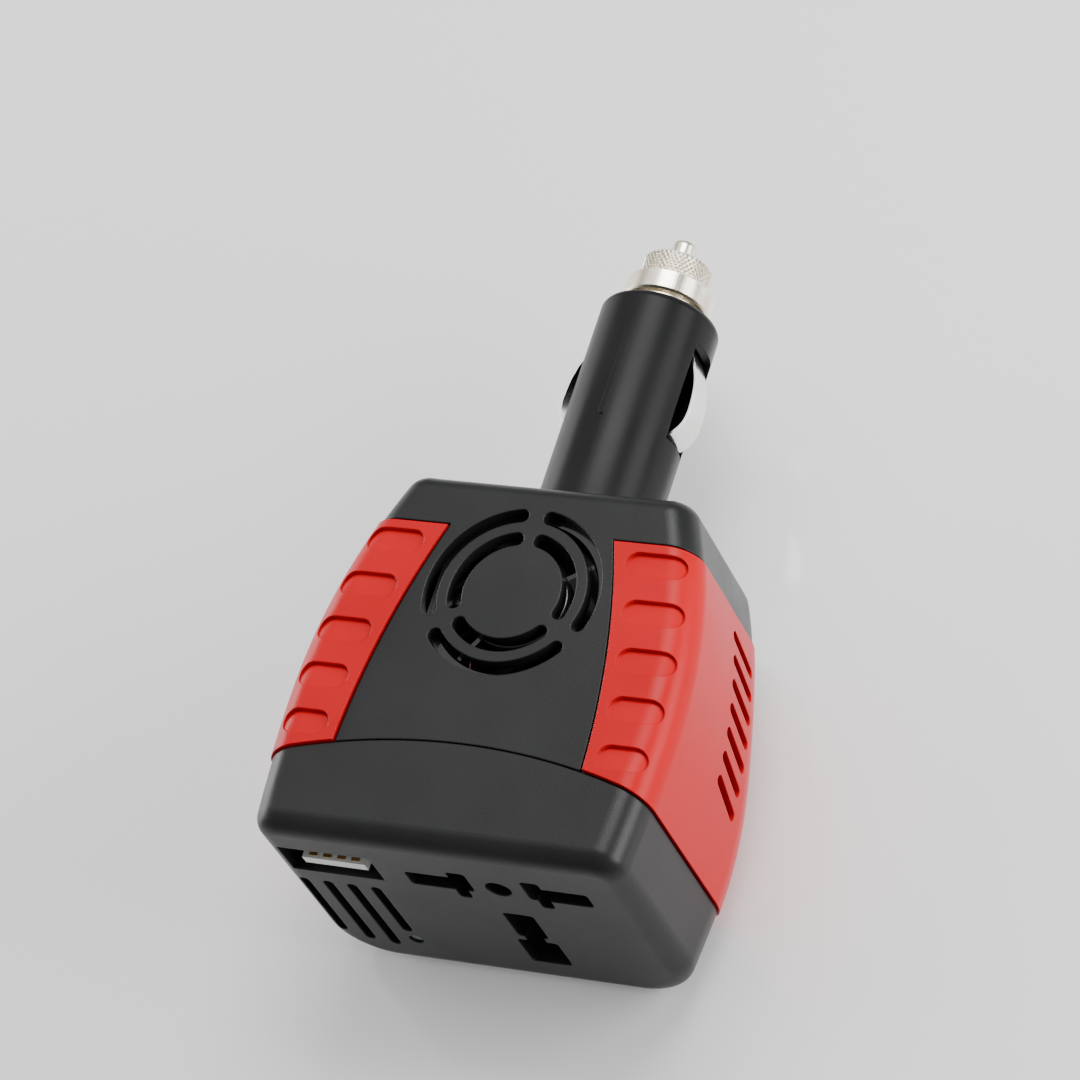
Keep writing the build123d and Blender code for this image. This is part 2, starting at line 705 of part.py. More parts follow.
def make_bushes():
    """A nylon bush in each cheek, round the plug's trunnions."""
    bushes = []
    for side in (-1, 1):
        x0, x1 = sorted((side * (cheek_inner + seam_gap), side * cheek_outer))
        bush = rod_x(bush_radius, x0, x1, pivot_y, axis_z)
        bushes.append(bush - rod_x(trunnion_radius + bush_clearance, x0 - over, x1 + over, pivot_y, axis_z))
    return group(bushes)


# ---- outlet and USB ------------------------------------------------------------
def make_outlet():
    """Insulating block with a pocket and a brass clip behind each opening."""
    x0 = outlet_from_centre - outlet_slot_outer - block_margin
    x1 = outlet_from_centre + outlet_slot_outer + block_margin
    low = body_depth - earth_lower_from_front - earth_lower_size[1] / 2 - block_margin
    high = body_depth - outlet_slot_from_front + outlet_slot_height / 2 + outlet_notch_rise + block_margin
    carrier = block(x0, x1, wall + block_gap, block_back, low, high)
    clips = []
    mid = body_depth - outlet_slot_from_front
    earth_mid = body_depth - (earth_upper_from_front + earth_lower_from_front) / 2
    slot_mid = (outlet_slot_inner + outlet_slot_outer) / 2
    slot_half = (outlet_slot_outer - outlet_slot_inner) / 2
    half_x = slot_half + pocket_margin
    half_z = outlet_slot_height / 2 + pocket_rise
    earth_x = earth_lower_size[0] / 2 + pocket_margin
    pockets = [
        (outlet_from_centre - slot_mid, mid, half_x, half_z),
        (outlet_from_centre + slot_mid, mid, half_x, half_z),
        (outlet_from_centre, earth_mid, earth_x, earth_upper_size[1] + earth_pocket_rise),
    ]
    back = block_back - block_floor
    front = back - clip_depth
    for x, z, half_x, half_z in pockets:
        carrier -= block(x - half_x, x + half_x, wall, back, z - half_z, z + half_z)
        clip = block(x - half_x, x + half_x, front, back, z - half_z, z + half_z)
        gap_x = half_x - clip_wall
        clip -= block(x - gap_x, x + gap_x, front - over, back - clip_wall,
                      z - half_z - over, z + half_z + over)
        clips.append(clip)
    carrier -= rod_y(outlet_pin_radius, wall, back, outlet_from_centre, mid)
    return {"socket_block": carrier, "live_clip": clips[1], "neutral_clip": clips[0],
            "earth_clip": clips[2]}


def make_usb():
    """USB port: metal shell, tongue and its small board."""
    z = body_depth - usb_from_front
    w, h = usb_shell_size
    start = wall + usb_gap
    end = start + usb_shell_depth
    x = usb_from_centre
    shell = block(x - w / 2, x + w / 2, start, end, z - h / 2, z + h / 2)
    in_w = w / 2 - usb_shell_wall
    in_h = h / 2 - usb_shell_wall
    shell -= block(x - in_w, x + in_w, start - over, end - usb_shell_wall, z - in_h, z + in_h)
    tongue_w, tongue_h = usb_tongue_size
    top = z - in_h + usb_tongue_lift + tongue_h
    back = end - usb_shell_wall
    tongue = block(x - tongue_w / 2, x + tongue_w / 2, back - usb_tongue_depth, back, top - tongue_h, top)
    board_z = z - h / 2
    half = w / 2 + usb_board_margin
    board = block(x - half, x + half, start, end + usb_board_margin, board_z - usb_board_thickness, board_z)
    return {"usb_shell": shell, "usb_tongue": tongue, "usb_board": board}


def make_led():
    """Status light with a domed nose."""
    z = body_depth - led_from_front
    flange, thickness = led_flange
    seat = wall + led_clearance
    lens = rod_y(led_radius - led_clearance, led_sink, led_sink + led_length, led_from_centre, z)
    return lens + rod_y(led_radius + flange, seat, seat + thickness, led_from_centre, z)


# ---- electronics ---------------------------------------------------------------
def make_board():
    """Main board with its screws and what stands on it."""
    board = block(-board_half_width, board_half_width, board_start, board_end, board_height, board_top)
    hole = case_boss_radius + case_screw_clearance
    for x, y in case_screw_places():
        board -= rod_z(hole, 0, reach, x, y)
    screws = []
    head_radius, head_height = board_screw_head
    for x, y in board_screw_places():
        board -= rod_z(board_screw_radius, 0, reach, x, y)
        screws.append(rod_z(board_screw_radius, board_height - board_screw_bite, board_top, x, y)
                      + rod_z(head_radius, board_top, board_top + head_height, x, y))

    w, d, h = transformer_size
    x, y = transformer_place
    win_w, win_h = transformer_window
    core = block(x - w / 2, x + w / 2, y - d / 2, y + d / 2, board_top, board_top + h)
    z = board_top + h / 2
    leg = w / 6
    for side in (-1, 1):
        x0, x1 = sorted((x + side * leg, x + side * (leg + win_w)))
        core -= block(x0, x1, y - d, y + d, z - win_h / 2, z + win_h / 2)
    half = leg + win_w - coil_gap
    coil_half = win_h / 2 - coil_gap
    coil = block(x - half, x + half, y - d / 2 - coil_overhang, y + d / 2 + coil_overhang,
                 z - coil_half, z + coil_half)
    coil = fillet(coil.edges().filter_by(Axis.Z), coil_rounding)
    coil -= core

    t, length, tall = heatsink_size
    sink_x = heatsink_from_centre
    sink_y = board_end - heatsink_from_edge - length
    sink = block(sink_x, sink_x + t, sink_y, sink_y + length, board_top, board_top + tall)
    fin_d, fin_t = heatsink_fin
    for i in range(heatsink_fins):
        fin_y = sink_y + i * (length - fin_t) / (heatsink_fins - 1)
        sink += block(sink_x - fin_d, sink_x, fin_y, fin_y + fin_t,
                      board_top + heatsink_fin_lift, board_top + tall)
    face = sink_x + t
    t_x, t_y, t_z = transistor_size
    transistors = []
    foot = board_top + transistor_lift
    for y in transistor_ys:
        transistors.append(block(face, face + t_x, y - t_y / 2, y + t_y / 2, foot, foot + t_z))
    cans = []
    for x, y in capacitor_places:
        can = rod_z(capacitor_radius, board_top, board_top + capacitor_height, x, y)
        cans.append(fillet(can.edges(), capacitor_rounding))
    chips = []
    c_x, c_y, c_z = chip_size
    for x, y in chip_places:
        chips.append(block(x - c_x / 2, x + c_x / 2, y - c_y / 2, y + c_y / 2, board_top, board_top + c_z))
    leads = []
    for side in (-1, 1):
        start_x = side * (cheek_outer + seam_gap)
        out_x = side * (cheek_outer + supply_lead_out)
        foot_y = board_end - 2 * lead_radius
        leads.append(tube([(start_x, pivot_y, axis_z), (out_x, pivot_y, axis_z),
                           (out_x, foot_y, axis_z - supply_lead_drop), (out_x, foot_y, board_top)],
                          supply_lead_bend, lead_radius))
    return {"main_board": board, "board_screws": group(screws), "transformer_core": core,
            "transformer_coil": coil, "heatsink": sink, "transistors": group(transistors),
            "capacitors": group(cans), "control_chips": group(chips), "supply_leads": group(leads)}


def make_case_screws():
    """Four screws that pull the back shell to the front shell."""
    screws = []
    length, width, depth = case_screw_cross
    for x, y in case_screw_places():
        seat = back_rise(y) + case_screw_sink
        head = rod_z(case_screw_head_radius, seat - case_screw_head_height, seat, x, y)
        floor = seat - case_screw_head_height + depth
        head -= block(x - length / 2, x + length / 2, y - width / 2, y + width / 2, 0, floor)
        head -= block(x - width / 2, x + width / 2, y - length / 2, y + length / 2, 0, floor)
        screws.append(head + rod_z(case_screw_radius, seat, axis_z + case_screw_bite - over, x, y))
    return group(screws)


front_shell, back_shell, end_cap, grips = make_housing()
nodes = {"front_shell": front_shell, "back_shell": back_shell, "end_cap": end_cap}
nodes.update(grips)
nodes.update(make_fan())
nodes.update(make_plug())
nodes["pivot_bushes"] = make_bushes()
nodes.update(make_outlet())
nodes.update(make_usb())
nodes["status_led"] = make_led()
nodes.update(make_board())
nodes["case_screws"] = make_case_screws()

os.makedirs("parts", exist_ok=True)
for name, shape in nodes.items():
    export_step(Pos(0, -rest_centre_from_end, 0) * shape, f"parts/{name}.step")
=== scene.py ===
import json
from math import cos, pi, radians, sin

import bmesh
import bpy
from mathutils import Matrix, Vector


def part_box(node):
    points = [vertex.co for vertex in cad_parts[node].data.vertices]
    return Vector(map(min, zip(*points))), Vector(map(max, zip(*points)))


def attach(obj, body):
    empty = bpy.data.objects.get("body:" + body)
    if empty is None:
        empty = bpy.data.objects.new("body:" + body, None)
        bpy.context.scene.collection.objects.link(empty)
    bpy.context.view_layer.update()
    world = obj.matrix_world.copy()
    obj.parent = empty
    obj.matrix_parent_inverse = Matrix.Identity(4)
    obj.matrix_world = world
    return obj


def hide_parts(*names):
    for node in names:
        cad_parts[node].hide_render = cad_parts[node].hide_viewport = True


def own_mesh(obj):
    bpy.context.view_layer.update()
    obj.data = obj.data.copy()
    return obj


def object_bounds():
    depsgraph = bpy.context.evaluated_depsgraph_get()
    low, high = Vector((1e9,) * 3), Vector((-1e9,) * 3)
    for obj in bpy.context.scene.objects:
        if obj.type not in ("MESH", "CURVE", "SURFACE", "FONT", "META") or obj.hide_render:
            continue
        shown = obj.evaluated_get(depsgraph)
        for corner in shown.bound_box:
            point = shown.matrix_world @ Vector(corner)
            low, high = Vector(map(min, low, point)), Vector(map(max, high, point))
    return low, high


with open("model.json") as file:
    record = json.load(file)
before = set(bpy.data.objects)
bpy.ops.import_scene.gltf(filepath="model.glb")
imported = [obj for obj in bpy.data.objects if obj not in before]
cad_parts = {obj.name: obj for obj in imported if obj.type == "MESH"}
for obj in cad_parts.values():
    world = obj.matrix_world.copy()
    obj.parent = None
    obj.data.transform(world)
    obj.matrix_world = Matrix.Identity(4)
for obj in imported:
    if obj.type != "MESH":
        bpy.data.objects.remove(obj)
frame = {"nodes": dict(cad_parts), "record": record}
cad_low, cad_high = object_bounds()
MM = 0.001


# ---- shader maths --------------------------------------------------------------
class Value:
    """An output socket that can be used in arithmetic."""

    def __init__(self, finish, socket):
        self.finish = finish
        self.socket = socket

    def _math(self, operation, first, second):
        return self.finish.node("ShaderNodeMath", {"operation": operation}, {0: first, 1: second})

    def __add__(self, other):
        return self._math("ADD", self, other)

    __radd__ = __add__

    def __mul__(self, other):
        return self._math("MULTIPLY", self, other)

    def __sub__(self, other):
        return self._math("SUBTRACT", self, other)

    def __pow__(self, other):
        return self._math("POWER", self, other)


class Finish:
    """One material: a Principled shader and the nodes that feed it."""

    def __init__(self, name, colour, roughness, metallic=0.0, **sockets):
        self.material = bpy.data.materials.new(name)
        self.material.use_nodes = True
        self.tree = self.material.node_tree
        self.shader = self.tree.nodes["Principled BSDF"]
        self.shader.inputs["Base Color"].default_value = (*colour, 1.0)
        self.shader.inputs["Roughness"].default_value = roughness
        self.shader.inputs["Metallic"].default_value = metallic
        for key, value in sockets.items():
            self.shader.inputs[key.replace("_", " ")].default_value = value
        self.place = self.node("ShaderNodeTexCoord", {}, {}, "Object")

    def node(self, kind, settings, inputs, output=0):
        """Adds a node: its settings first, then the values or links of its sockets."""
        made = self.tree.nodes.new(kind)
        for key, value in settings.items():
            setattr(made, key, value)
        for key, value in inputs.items():
            if isinstance(value, Value):
                self.tree.links.new(value.socket, made.inputs[key])
            else:
                made.inputs[key].default_value = value
        return Value(self, made.outputs[output])

    def noise(self, size, detail=2.0, stretch=(1, 1, 1)):
        """Noise whose features are about size metres across."""
        scaled = self.node("ShaderNodeMapping", {}, {"Vector": self.place, "Scale": stretch})
        return self.node("ShaderNodeTexNoise", {},
                         {"Vector": scaled, "Scale": 1 / size, "Detail": detail})

    def spread(self, value, low, high):
        """Stretches the middle of a noise over 0 to 1."""
        return self.node("ShaderNodeMapRange", {}, {0: value, 1: low, 2: high, 3: 0.0, 4: 1.0})

    def blend(self, factor, first, second):
        """Mixes two colours."""
        return self.node("ShaderNodeMix", {"data_type": "RGBA"},
                         {"Factor": factor, 6: (*first, 1.0), 7: (*second, 1.0)}, 2)

    def colour(self, value):
        self.tree.links.new(value.socket, self.shader.inputs["Base Color"])

    def roughness(self, value):
        self.tree.links.new(value.socket, self.shader.inputs["Roughness"])

    def relief(self, height, depth, edge=0.0):
        """Bumps the surface by height times depth metres, over softened edges."""
        inputs = {"Height": height, "Strength": 1.0, "Distance": depth}
        if edge:
            inputs["Normal"] = self.node("ShaderNodeBevel", {"samples": 6}, {"Radius": edge})
        made = self.node("ShaderNodeBump", {}, inputs)
        self.tree.links.new(made.socket, self.shader.inputs["Normal"])


# ---- finishes ------------------------------------------------------------------
def moulded(name, dark, light, rough, grain, depth, edge, **sockets):
    """Injection-moulded plastic: fine tool grain, faint flow marks and handling gloss."""
    patch_size, flow_size, flow_stretch = 14 * MM, 2.2 * MM, (1.0, 0.25, 1.0)
    made = Finish(name, dark, rough, **sockets)
    fine = made.noise(grain, 3.0)
    broad = made.spread(made.noise(patch_size, 2.0), 0.35, 0.65)
    flow = made.noise(flow_size, 2.0, flow_stretch)
    made.colour(made.blend(broad * 0.6 + fine * 0.4, dark, light))
    made.roughness(rough - 0.05 + broad * 0.06 + fine * 0.05)
    made.relief(fine + flow * 0.25, depth, edge)
    return made.material


def plated(name, colour, shade, rough, stretch):
    """Bright plating over fine turning marks, with a warm tarnish in patches."""
    mark_size, mark_depth, patch_size, edge = 0.35 * MM, 0.004 * MM, 5 * MM, 0.08 * MM
    made = Finish(name, colour, rough, 1.0)
    lines = made.noise(mark_size, 3.0, stretch)
    patch = made.spread(made.noise(patch_size, 3.0), 0.42, 0.7)
    made.colour(made.blend(patch, colour, shade))
    made.roughness(rough + patch * 0.08 + lines * 0.06)
    made.relief(lines, mark_depth, edge)
    return made.material


def plain_metal(name, colour, shade, rough):
    """Unplated metal with drawn lines and light mottling."""
    mottle_size, line_size, line_stretch, depth = 1.5 * MM, 0.3 * MM, (1.0, 0.1, 1.0), 0.01 * MM
    made = Finish(name, colour, rough, 1.0)
    mottle = made.noise(mottle_size, 4.0)
    lines = made.noise(line_size, 2.0, line_stretch)
    made.colour(made.blend(made.spread(mottle, 0.35, 0.7), colour, shade))
    made.roughness(rough + mottle * 0.15)
    made.relief(lines + mottle * 0.5, depth)
    return made.material


def board_finish():
    """Solder mask over copper tracks."""
    track_pitch, track_depth, grain_size = 4 * MM, 0.03 * MM, 0.4 * MM
    made = Finish("solder_mask", (0.01, 0.09, 0.03), 0.3)
    tracks = made.node("ShaderNodeTexBrick", {"offset": 0.5},
                       {"Vector": made.place, "Scale": 1 / track_pitch, "Mortar Size": 0.06}, 1)
    made.colour(made.blend(tracks, (0.01, 0.07, 0.02), (0.02, 0.16, 0.05)))
    grain = made.noise(grain_size)
    made.roughness(0.25 + grain * 0.15)
    made.relief(tracks + grain * 0.3, track_depth)
    return made.material


def glass_finish():
    """Thin clear glass with faint drawing lines."""
    line_size, line_stretch, line_depth = 0.8 * MM, (1.0, 0.1, 1.0), 0.01 * MM
    made = Finish("fuse_glass", (0.93, 0.97, 0.96), 0.03, Alpha=0.3, IOR=1.5)
    lines = made.noise(line_size, 2.0, line_stretch)
    made.roughness(0.02 + lines * 0.04)
    made.colour(made.blend(lines, (0.9, 0.95, 0.94), (0.97, 1.0, 0.99)))
    made.relief(lines, line_depth)
    return made.material


def wound_tape():
    """Yellow tape round a winding, with the wire's ribs showing through."""
    rib_pitch, rib_depth = 2.5 * MM, 0.05 * MM
    made = Finish("winding_tape", (0.7, 0.5, 0.06), 0.35)
    ribs = made.node("ShaderNodeTexWave", {"bands_direction": "Z"},
                     {"Vector": made.place, "Scale": 1 / rib_pitch, "Distortion": 0.6}, 1)
    made.colour(made.blend(ribs, (0.55, 0.36, 0.03), (0.78, 0.58, 0.09)))
    made.roughness(0.3 + ribs * 0.1)
    made.relief(ribs, rib_depth)
    return made.material


black_case = moulded("black_case", (0.009, 0.0093, 0.0095), (0.013, 0.0134, 0.0136), 0.36,
                     0.28 * MM, 0.022 * MM, 0.35 * MM, Specular_IOR_Level=0.24)
black_plug = moulded("black_plug", (0.006, 0.0062, 0.0064), (0.009, 0.0092, 0.0096), 0.34,
                     0.4 * MM, 0.012 * MM, 0.2 * MM, Specular_IOR_Level=0.12)
red_grip = moulded("red_grip", (0.46, 0.0001, 0.004), (0.52, 0.0003, 0.006), 0.34,
                   0.5 * MM, 0.008 * MM, 0.3 * MM, Specular_IOR_Level=0.14)
dark_nylon = moulded("dark_nylon", (0.012, 0.012, 0.013), (0.018, 0.018, 0.019), 0.5,
                     0.3 * MM, 0.02 * MM, 0.0)
gloss_fan = moulded("gloss_fan", (0.006, 0.006, 0.007), (0.010, 0.010, 0.011), 0.14,
                    1.2 * MM, 0.004 * MM, 0.0)
white_tongue = moulded("white_tongue", (0.72, 0.72, 0.69), (0.8, 0.8, 0.78), 0.4,
                       0.4 * MM, 0.01 * MM, 0.0)
red_sleeve = moulded("red_sleeve", (0.42, 0.01, 0.01), (0.5, 0.02, 0.02), 0.45,
                     0.4 * MM, 0.02 * MM, 0.0)
blue_sleeve = moulded("blue_sleeve", (0.012, 0.02, 0.07), (0.02, 0.03, 0.1), 0.3,
                      0.6 * MM, 0.01 * MM, 0.0)
chip_epoxy = moulded("chip_epoxy", (0.02, 0.02, 0.021), (0.03, 0.03, 0.03), 0.6,
                     0.15 * MM, 0.02 * MM, 0.0)
light_lens = moulded("light_lens", (0.01, 0.025, 0.012), (0.015, 0.04, 0.018), 0.12,
                     1.5 * MM, 0.004 * MM, 0.0)
nickel = plated("nickel", (0.96, 0.90, 0.77), (0.80, 0.71, 0.54), 0.2, (1.0, 6.0, 1.0))
contact_nickel = plated("contact_nickel", (0.97, 0.96, 0.94), (0.9, 0.88, 0.84), 0.16,
                        (1.0, 0.3, 1.0))
brass = plain_metal("brass", (0.72, 0.50, 0.20), (0.55, 0.36, 0.13), 0.3)
# Painted shade: brass darkened to near black for the clips deep inside the socket holes, where shade
# falls.
brass_in_painted_shade = plain_metal("brass_in_painted_shade", (0.10, 0.075, 0.04), (0.06, 0.045, 0.025), 0.55)
zinc_steel = plain_metal("zinc_steel", (0.80, 0.79, 0.76), (0.62, 0.61, 0.58), 0.3)
aluminium = plain_metal("aluminium", (0.75, 0.76, 0.78), (0.6, 0.61, 0.63), 0.35)
copper = plain_metal("copper", (0.65, 0.25, 0.10), (0.48, 0.16, 0.06), 0.3)
ferrite = moulded("ferrite", (0.035, 0.034, 0.033), (0.06, 0.058, 0.056), 0.7,
                  0.2 * MM, 0.04 * MM, 0.0)

FINISH_OF_SLOT = {
    "black_plastic": black_case, "plug_plastic": black_plug, "red_plastic": red_grip,
    "nickel": nickel, "brass": brass, "steel": zinc_steel, "fuse_glass": glass_finish(),
    "wire": red_sleeve, "nylon": dark_nylon, "fan_plastic": gloss_fan, "ferrite": ferrite,
    "copper": copper, "usb_plastic": white_tongue, "board": board_finish(), "led": light_lens,
    "tape": wound_tape(), "aluminium": aluminium, "epoxy": chip_epoxy, "sleeve": blue_sleeve,
}
# Painted shade: the usb board takes the dark nylon finish in place of its green solder mask, so the
# inside of the USB port reads dark.
FINISH_OF_NODE = {"left_side_contact": contact_nickel, "right_side_contact": contact_nickel,
                  "usb_board": dark_nylon, "earth_clip": brass_in_painted_shade, "live_clip": brass_in_painted_shade,
                  "neutral_clip": brass_in_painted_shade}


def dress_cad_nodes():
    """Gives every CAD node the finish of its slot, or the finish listed for that node."""
    slot_of = {part["node"]: part["material_slot"] for part in frame["record"]["subparts"]}
    for name, node in frame["nodes"].items():
        finish = FINISH_OF_NODE.get(name, FINISH_OF_SLOT[slot_of[name]])
        node.data.materials.clear()
        node.data.materials.append(finish)


# ---- repeated shapes -----------------------------------------------------------
class Pattern:
    """A Geometry Nodes tree for one repeated shape, with its sizes as named inputs."""

    def __init__(self, name, sizes):
        self.name = name
        self.sizes = sizes
        self.tree = bpy.data.node_groups.new(name, "GeometryNodeTree")
        self.keys = {}
        for key in sizes:
            made = self.tree.interface.new_socket(key, in_out="INPUT", socket_type="NodeSocketFloat")
            self.keys[key] = made.identifier
        self.tree.interface.new_socket("Geometry", in_out="OUTPUT", socket_type="NodeSocketGeometry")
        self.entry = self.tree.nodes.new("NodeGroupInput")
        self.exit = self.tree.nodes.new("NodeGroupOutput")

    node = Finish.node

    def size(self, key):
        return Value(self, self.entry.outputs[key])

    def build(self, shape, material):
        """Ends the tree, runs it and returns its result as a plain mesh."""
        real = self.node("GeometryNodeRealizeInstances", {}, {"Geometry": shape})
        dressed = self.node("GeometryNodeSetMaterial", {}, {"Geometry": real, "Material": material})
        self.tree.links.new(dressed.socket, self.exit.inputs["Geometry"])
        carrier = bpy.data.objects.new(self.name, bpy.data.meshes.new(self.name))
        bpy.context.collection.objects.link(carrier)
        modifier = carrier.modifiers.new(self.name, "NODES")
        modifier.node_group = self.tree
        for key, value in self.sizes.items():
            modifier[self.keys[key]] = float(value)
        depsgraph = bpy.context.evaluated_depsgraph_get()
        mesh = bpy.data.meshes.new_from_object(carrier.evaluated_get(depsgraph))
        bpy.data.objects.remove(carrier)
        return mesh


def add_piece(name, mesh, body, *nodes):
    """A finished mesh as a piece that rides a body and may stand for CAD nodes."""
    piece = bpy.data.objects.new(name, mesh)
    bpy.context.collection.objects.link(piece)
    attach(piece, body)
    if nodes:
        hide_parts(*nodes)
    return piece


def turned(profile, centre, segments=96):
    """A closed ring turned about the plug's axis from (radius, y) points."""
    shape = bmesh.new()
    rings = []
    for i in range(segments):
        angle = 2 * pi * i / segments
        ring = [shape.verts.new((centre[0] + r * cos(angle), y, centre[1] + r * sin(angle)))
                for r, y in profile]
        rings.append(ring)
    for i, ring in enumerate(rings):
        following = rings[(i + 1) % segments]
        for j in range(len(profile)):
            k = (j + 1) % len(profile)
            shape.faces.new((ring[j], ring[k], following[k], following[j]))
    bmesh.ops.recalc_face_normals(shape, faces=shape.faces)
    return shape


def knurl(radius, start, length, centre, material):
    """Diamond points round the nut, in staggered rows."""
    point_columns, point_rows, point_height = 44, 8, 0.28 * MM
    top_share, base_share = 0.1, 0.8
    pattern = Pattern("knurl_points", {
        "Radius": radius, "Start": start, "Length": length,
        "Columns": point_columns, "Rows": point_rows,
        "Centre X": centre[0], "Centre Z": centre[1], "Height": point_height})
    columns = pattern.size("Columns")
    rows = pattern.size("Rows")
    count = columns * rows
    points = pattern.node("GeometryNodeMeshLine", {}, {"Count": count, "Offset": (0.0, 0.0, 0.0)})
    index = pattern.node("GeometryNodeInputIndex", {}, {})
    row = pattern.node("ShaderNodeMath", {"operation": "FLOOR"}, {0: index * columns ** -1})
    stagger = pattern.node("ShaderNodeMath", {"operation": "PINGPONG"}, {0: row * 0.5, 1: 0.5})
    angle = (index + stagger) * columns ** -1 * (2 * pi)
    across = pattern.node("ShaderNodeMath", {"operation": "COSINE"}, {0: angle})
    upward = pattern.node("ShaderNodeMath", {"operation": "SINE"}, {0: angle})
    step = pattern.size("Length") * rows ** -1
    spot = pattern.node("ShaderNodeCombineXYZ", {}, {
        0: across * pattern.size("Radius") + pattern.size("Centre X"),
        1: pattern.size("Start") + (row + 0.5) * step,
        2: upward * pattern.size("Radius") + pattern.size("Centre Z")})
    placed = pattern.node("GeometryNodeSetPosition", {}, {"Geometry": points, "Position": spot})
    point = pattern.node("GeometryNodeMeshCone", {}, {
        "Vertices": 4, "Radius Top": step * top_share, "Radius Bottom": step * base_share,
        "Depth": pattern.size("Height")})
    outward = pattern.node("ShaderNodeCombineXYZ", {}, {0: across, 1: 0.0, 2: upward})
    turn = pattern.node("FunctionNodeAlignRotationToVector", {"axis": "Z"}, {"Vector": outward})
    upright = pattern.node("FunctionNodeAlignRotationToVector", {"axis": "X", "pivot_axis": "Z"},
                           {"Rotation": turn, "Vector": (0.0, 1.0, 0.0)})
    made = pattern.node("GeometryNodeInstanceOnPoints", {},
                        {"Points": placed, "Instance": point, "Rotation": upright})
    return pattern.build(made, material)


def add_tip_nut():
    """The tip nut: a plain flange and a knurled band, with a bore for the pin."""
    nut_low, nut_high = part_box("tip_nut")
    radius = (nut_high.x - nut_low.x) / 2
    centre = ((nut_low.x + nut_high.x) / 2, (nut_low.z + nut_high.z) / 2)
    start, end = nut_low.y, nut_high.y
    flange_length, end_wall = 4.0 * MM, 2.4 * MM
    band, bore, hole = 5.85 * MM, 5.3 * MM, 2.3 * MM
    round_off = 0.35 * MM
    knurl_gap, plain_ends = 0.1 * MM, 0.4 * MM
    middle = start + flange_length
    seat = end - end_wall
    profile = [(bore, start), (radius - round_off, start), (radius, start + round_off),
               (radius, middle - round_off), (radius - round_off, middle), (band, middle),
               (band, end - round_off), (band - round_off, end), (hole, end), (hole, seat),
               (bore, seat)]
    shape = turned(profile, centre)
    points = knurl(band, middle + knurl_gap, end - middle - plain_ends, centre, nickel)
    shape.from_mesh(points)
    mesh = bpy.data.meshes.new("tip_nut_knurled")
    shape.to_mesh(mesh)
    shape.free()
    mesh.materials.append(nickel)
    piece = add_piece("tip_nut_knurled", mesh, "nut", "tip_nut")


def add_tip_spring():
    """The coil behind the fuse; the real one shortens as the tip pin goes in, this one keeps its
    length.
    """
    low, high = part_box("tip_spring")
    wire = 0.35 * MM
    turns, steps = 6, 20
    radius = (high.x - low.x) / 2 - wire
    middle = (low + high) / 2
    start, end = low.y + wire, high.y - wire
    curve = bpy.data.curves.new("tip_spring_coil", "CURVE")
    curve.dimensions = "3D"
    curve.bevel_depth = wire
    curve.bevel_resolution = 3
    curve.use_fill_caps = True
    line = curve.splines.new("POLY")
    line.points.add(turns * steps)
    for i, point in enumerate(line.points):
        angle = 2 * pi * i / steps
        share = i / (turns * steps)
        point.co = (middle.x + radius * cos(angle), start + (end - start) * share,
                    middle.z + radius * sin(angle), 1.0)
    carrier = bpy.data.objects.new("tip_spring_coil", curve)
    bpy.context.collection.objects.link(carrier)
    depsgraph = bpy.context.evaluated_depsgraph_get()
    mesh = bpy.data.meshes.new_from_object(carrier.evaluated_get(depsgraph))
    bpy.data.objects.remove(carrier)
    mesh.materials.clear()
    mesh.materials.append(zinc_steel)
    piece = add_piece("tip_spring_coil", mesh, "plug", "tip_spring")
    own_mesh(piece)


def add_usb_contacts():
    """Four flat contacts on the tongue of the USB port."""
    low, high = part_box("usb_tongue")
    set_back = 0.5 * MM
    pattern = Pattern("usb_contacts", {
        "Count": 4, "Pitch": 2.6 * MM, "Width": 1.5 * MM, "Length": 7.5 * MM, "Thickness": 0.15 * MM,
        "Middle": (low.x + high.x) / 2, "Front": low.y + set_back, "Top": high.z})
    pitch = pattern.size("Pitch")
    length = pattern.size("Length")
    thickness = pattern.size("Thickness")
    start = pattern.node("ShaderNodeCombineXYZ", {}, {
        0: pattern.size("Middle") - (pattern.size("Count") - 1.0) * pitch * 0.5,
        1: pattern.size("Front") + length * 0.5,
        2: pattern.size("Top") + thickness * 0.5})
    step = pattern.node("ShaderNodeCombineXYZ", {}, {0: pitch})
    spots = pattern.node("GeometryNodeMeshLine", {},
                         {"Count": pattern.size("Count"), "Start Location": start, "Offset": step})
    block = pattern.node("ShaderNodeCombineXYZ", {},
                         {0: pattern.size("Width"), 1: length, 2: thickness})
    strip = pattern.node("GeometryNodeMeshCube", {}, {"Size": block})
    made = pattern.node("GeometryNodeInstanceOnPoints", {}, {"Points": spots, "Instance": strip})
    piece = add_piece("usb_contacts", pattern.build(made, brass), "housing")


# ---- studio --------------------------------------------------------------------
def aim(thing, azimuth, elevation, roll=0.0):
    """Turns a camera or light to look back along a direction."""
    a, e, r = radians(azimuth), radians(elevation), radians(roll)
    back = Vector((sin(a) * cos(e), -cos(a) * cos(e), sin(e)))
    right = Vector((cos(a), sin(a), 0.0))
    up = back.cross(right)
    turned_right = right * cos(r) - up * sin(r)
    turned_up = back.cross(turned_right)
    turn = Matrix((turned_right, turned_up, back)).transposed()
    thing.rotation_mode = "QUATERNION"
    thing.rotation_quaternion = turn.to_quaternion()
    return back


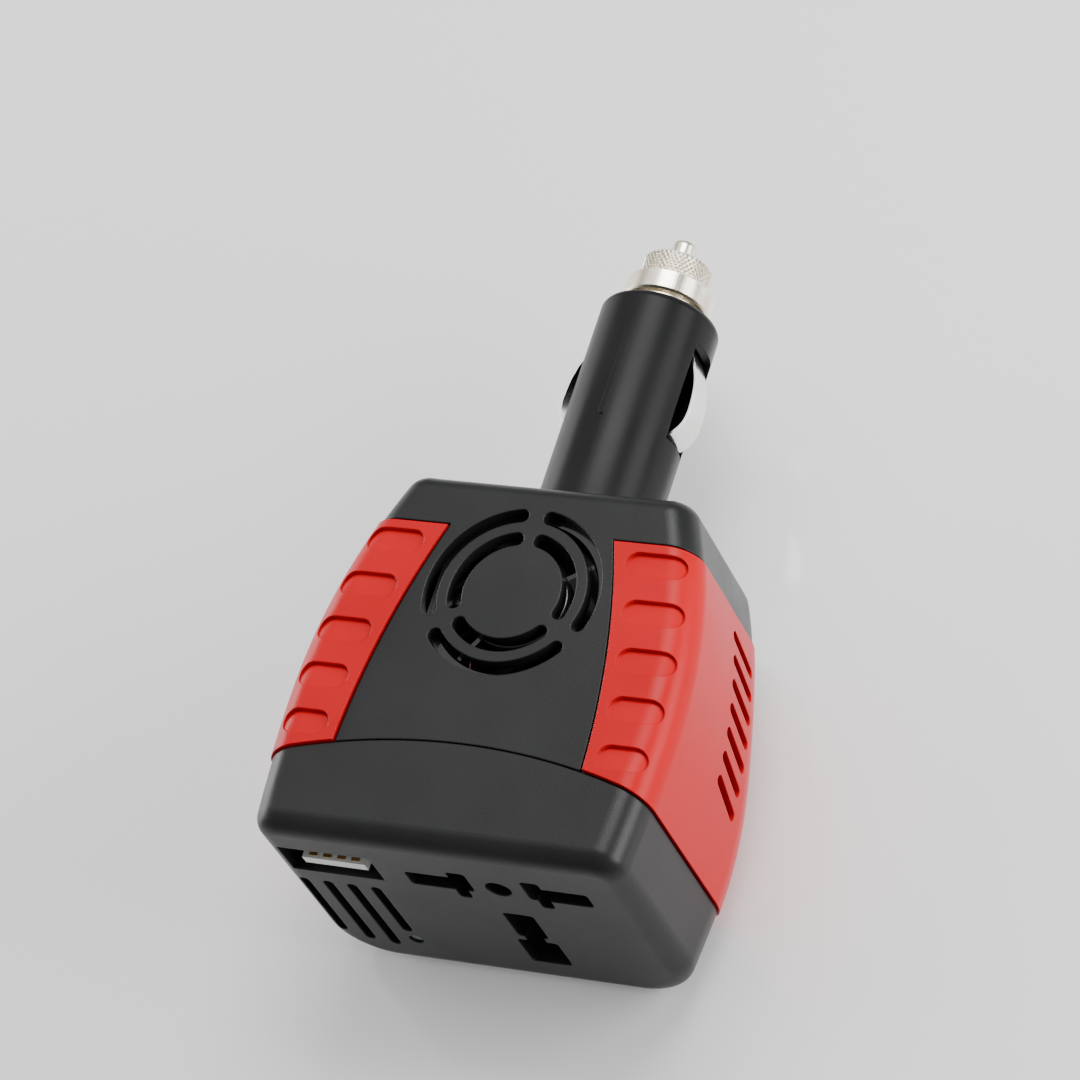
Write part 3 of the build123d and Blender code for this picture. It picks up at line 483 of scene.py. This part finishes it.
def add_camera():
    """The camera: long lens, above the outlet end, rolled to the left."""
    data = bpy.data.cameras.new("camera")
    camera = bpy.data.objects.new("camera", data)
    bpy.context.collection.objects.link(camera)
    camera.location = (0.3520, -0.3018, 0.7018)
    aim(camera, azimuth=46.22, elevation=53.63, roll=33.83)
    data.lens = 166.7
    data.sensor_width = 36.0
    data.shift_x = 0.0139
    data.shift_y = 0.0787
    data.clip_start = 0.01
    data.clip_end = 10.0
    bpy.context.scene.camera = camera


def add_light(name, azimuth, elevation, distance, size, power):
    """A soft rectangular light that faces the object's middle."""
    data = bpy.data.lights.new(name, "AREA")
    data.shape = "RECTANGLE"
    data.size, data.size_y = size
    data.energy = power
    light = bpy.data.objects.new(name, data)
    bpy.context.collection.objects.link(light)
    back = aim(light, azimuth, elevation)
    middle = (cad_low + cad_high) / 2
    light.location = middle + back * distance


# Azimuth and elevation in degrees, distance and size in metres, power in watts.
LIGHTS = {
    "side_light": (100, 22, 0.6, (0.5, 0.3), 4.5),
    "top_light": (165, 62, 0.7, (0.4, 0.3), 4.5),
    "front_sheen": (-134, 52, 0.8, (0.6, 0.6), 1.2),
    "rim_light": (-95, 10, 0.6, (0.5, 0.2), 3.0),
}


def add_studio():
    """White world, white glossy floor and four soft lights."""
    world_strength, floor_side, floor_glow = 0.42, 3.0, 0.1
    world = bpy.data.worlds.new("studio")
    bpy.context.scene.world = world
    world.use_nodes = True
    background = world.node_tree.nodes["Background"]
    background.inputs["Color"].default_value = (1.0, 1.0, 1.0, 1.0)
    background.inputs["Strength"].default_value = world_strength
    for name, settings in LIGHTS.items():
        add_light(name, *settings)

    bpy.ops.mesh.primitive_plane_add(size=floor_side, location=(0, 0, 0))
    floor = bpy.context.object
    floor.name = "floor"
    gloss = Finish("floor_gloss", (0.80, 0.80, 0.81), 0.12,
                   Emission_Color=(1.0, 1.0, 1.0, 1.0), Emission_Strength=floor_glow)
    cloud = gloss.noise(60 * MM)
    gloss.roughness(0.10 + cloud * 0.04)
    floor.data.materials.append(gloss.material)


add_studio()
add_camera()
dress_cad_nodes()
add_tip_nut()
add_tip_spring()
add_usb_contacts()
